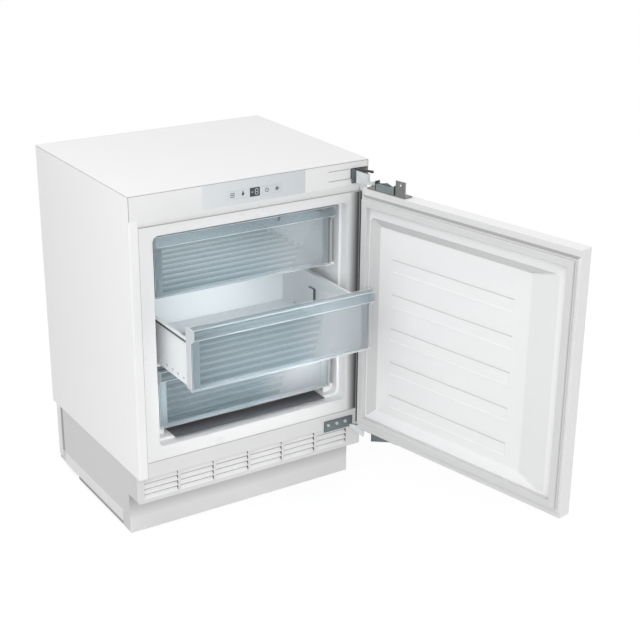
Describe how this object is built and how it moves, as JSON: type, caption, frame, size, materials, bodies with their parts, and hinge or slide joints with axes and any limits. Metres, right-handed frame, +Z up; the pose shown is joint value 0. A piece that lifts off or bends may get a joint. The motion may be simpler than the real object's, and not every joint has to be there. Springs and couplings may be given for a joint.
{
  "type": "undercounter freezer",
  "caption": "White built-under freezer with a right-hung door standing open, clear-fronted drawers, a control fascia, a louvred base grille and a recessed plinth.",
  "frame": {"origin": "middle of the plinth's lower face, on the floor", "axes": "+X to the right seen from the front, +Y to the rear, +Z up; the front faces -Y"},
  "size_m": [0.7082, 1.1189, 0.818],
  "materials": {
    "white_steel": "white enamel on steel sheet",
    "zinc_sheet": "galvanised sheet",
    "base_steel": "light grey coated sheet",
    "white_plastic": "smooth moulded white plastic",
    "tub_plastic": "smooth white moulded plastic",
    "clear_plastic": "clear moulded plastic with a faint ice-blue tint",
    "fascia_plastic": "satin light grey moulding",
    "overlay_plastic": "satin silver-blue film",
    "display_glass": "dark tinted window",
    "board_green": "printed circuit board",
    "foam": "rigid foam, cut cells",
    "gasket_rubber": "soft white seal",
    "evaporator_tube": "drawn tube",
    "hinge_steel": "zinc-plated pressed steel",
    "bright_steel": "turned and plated",
    "dark_plastic": "black moulding",
    "black_steel": "black enamel",
    "mount_rubber": "moulded rubber",
    "motor_metal": "die cast",
    "copper": "drawn copper"
  },
  "bodies": {
    "cabinet": {"back_panel": "zinc_sheet", "base_pan": "zinc_sheet", "base_side_left": "base_steel", "base_side_right": "base_steel", "cabinet_bottom": "zinc_sheet", "cabinet_insulation": "foam", "cable_gland": "dark_plastic", "compressor": "black_steel", "compressor_mounts": "mount_rubber", "condenser_coil": "black_steel", "control_board": "board_green", "control_overlay": "overlay_plastic", "display_window": "display_glass", "drawer_runners": "white_plastic", "evaporator": "evaporator_tube", "fan_motor": "motor_metal", "fan_shroud": "dark_plastic", "fascia": "fascia_plastic", "filter_drier": "copper", "hinge_bracket_lower": "hinge_steel", "hinge_bracket_upper": "hinge_steel", "hinge_cover": "fascia_plastic", "hinge_pins": "bright_steel", "hinge_screws": "bright_steel", "inner_liner": "white_plastic", "lower_front_panel": "white_plastic", "plinth": "white_steel", "refrigerant_pipes": "copper", "side_panel_left": "white_steel", "side_panel_right": "white_steel", "temperature_sensor": "white_plastic", "terminal_box": "dark_plastic", "top_panel": "white_steel", "upper_crossmember": "zinc_sheet", "ventilation_grille": "white_plastic"},
    "door": {"door_skin": "white_steel", "door_cap_top": "white_plastic", "door_cap_bottom": "white_plastic", "door_liner": "white_plastic", "door_insulation": "foam", "door_gasket": "gasket_rubber", "hinge_leaf_upper": "hinge_steel", "hinge_leaf_lower": "hinge_steel", "hinge_spring_unit": "hinge_steel", "leaf_screws": "bright_steel"},
    "top_drawer": {"drawer_front_top": "clear_plastic", "drawer_tub_top": "tub_plastic"},
    "middle_drawer": {"drawer_front_middle": "clear_plastic", "drawer_tub_middle": "tub_plastic"},
    "bottom_drawer": {"drawer_front_bottom": "clear_plastic", "drawer_tub_bottom": "tub_plastic"},
    "outer_left_key": {"key_outer_left": "overlay_plastic"},
    "inner_left_key": {"key_inner_left": "overlay_plastic"},
    "inner_right_key": {"key_inner_right": "overlay_plastic"},
    "outer_right_key": {"key_outer_right": "overlay_plastic"},
    "left_foot": {"front_foot_left": "dark_plastic"},
    "right_foot": {"front_foot_right": "dark_plastic"},
    "left_roller": {"rear_roller_left": "dark_plastic"},
    "right_roller": {"rear_roller_right": "dark_plastic"},
    "fan": {"fan_blade": "dark_plastic"}
  },
  "joints": [
    {"name": "door_hinge", "type": "hinge", "parent": "cabinet", "child": "door", "pos_m": [0.287, -0.108, 0.475], "axis": [0, 0, 1], "range_deg": [-101.6, 8.4]},
    {"name": "middle_drawer_slide", "type": "slide", "parent": "cabinet", "child": "middle_drawer", "axis": [0, -1, 0], "range_m": [-0.165, 0.016]},
    {"name": "top_drawer_slide", "type": "slide", "parent": "cabinet", "child": "top_drawer", "axis": [0, -1, 0], "range_m": [0, 0.3]},
    {"name": "bottom_drawer_slide", "type": "slide", "parent": "cabinet", "child": "bottom_drawer", "axis": [0, -1, 0], "range_m": [0, 0.3]},
    {"name": "outer_left_key_press", "type": "slide", "parent": "cabinet", "child": "outer_left_key", "axis": [0, 1, 0], "range_m": [0, 0.0006], "stiffness_N_per_m": 1500},
    {"name": "inner_left_key_press", "type": "slide", "parent": "cabinet", "child": "inner_left_key", "axis": [0, 1, 0], "range_m": [0, 0.0006], "stiffness_N_per_m": 1500},
    {"name": "inner_right_key_press", "type": "slide", "parent": "cabinet", "child": "inner_right_key", "axis": [0, 1, 0], "range_m": [0, 0.0006], "stiffness_N_per_m": 1500},
    {"name": "outer_right_key_press", "type": "slide", "parent": "cabinet", "child": "outer_right_key", "axis": [0, 1, 0], "range_m": [0, 0.0006], "stiffness_N_per_m": 1500},
    {"name": "left_foot_turn", "type": "hinge", "parent": "cabinet", "child": "left_foot", "pos_m": [-0.242, 0.042, 0], "axis": [0, 0, 1], "continuous": true},
    {"name": "left_roller_spin", "type": "hinge", "parent": "cabinet", "child": "left_roller", "pos_m": [-0.272, 0.339, 0.016], "axis": [1, 0, 0], "continuous": true},
    {"name": "right_foot_turn", "type": "hinge", "parent": "cabinet", "child": "right_foot", "pos_m": [0.242, 0.042, 0], "axis": [0, 0, 1], "continuous": true},
    {"name": "right_roller_spin", "type": "hinge", "parent": "cabinet", "child": "right_roller", "pos_m": [0.272, 0.339, 0.016], "axis": [1, 0, 0], "continuous": true},
    {"name": "fan_spin", "type": "hinge", "parent": "cabinet", "child": "fan", "pos_m": [-0.14, 0.12, 0.086], "axis": [0, 1, 0], "continuous": true}
  ],
  "couplings": [
    {"joint": "middle_drawer_slide", "follows": "door_hinge", "m_per_rad": 0.092485}
  ]
}
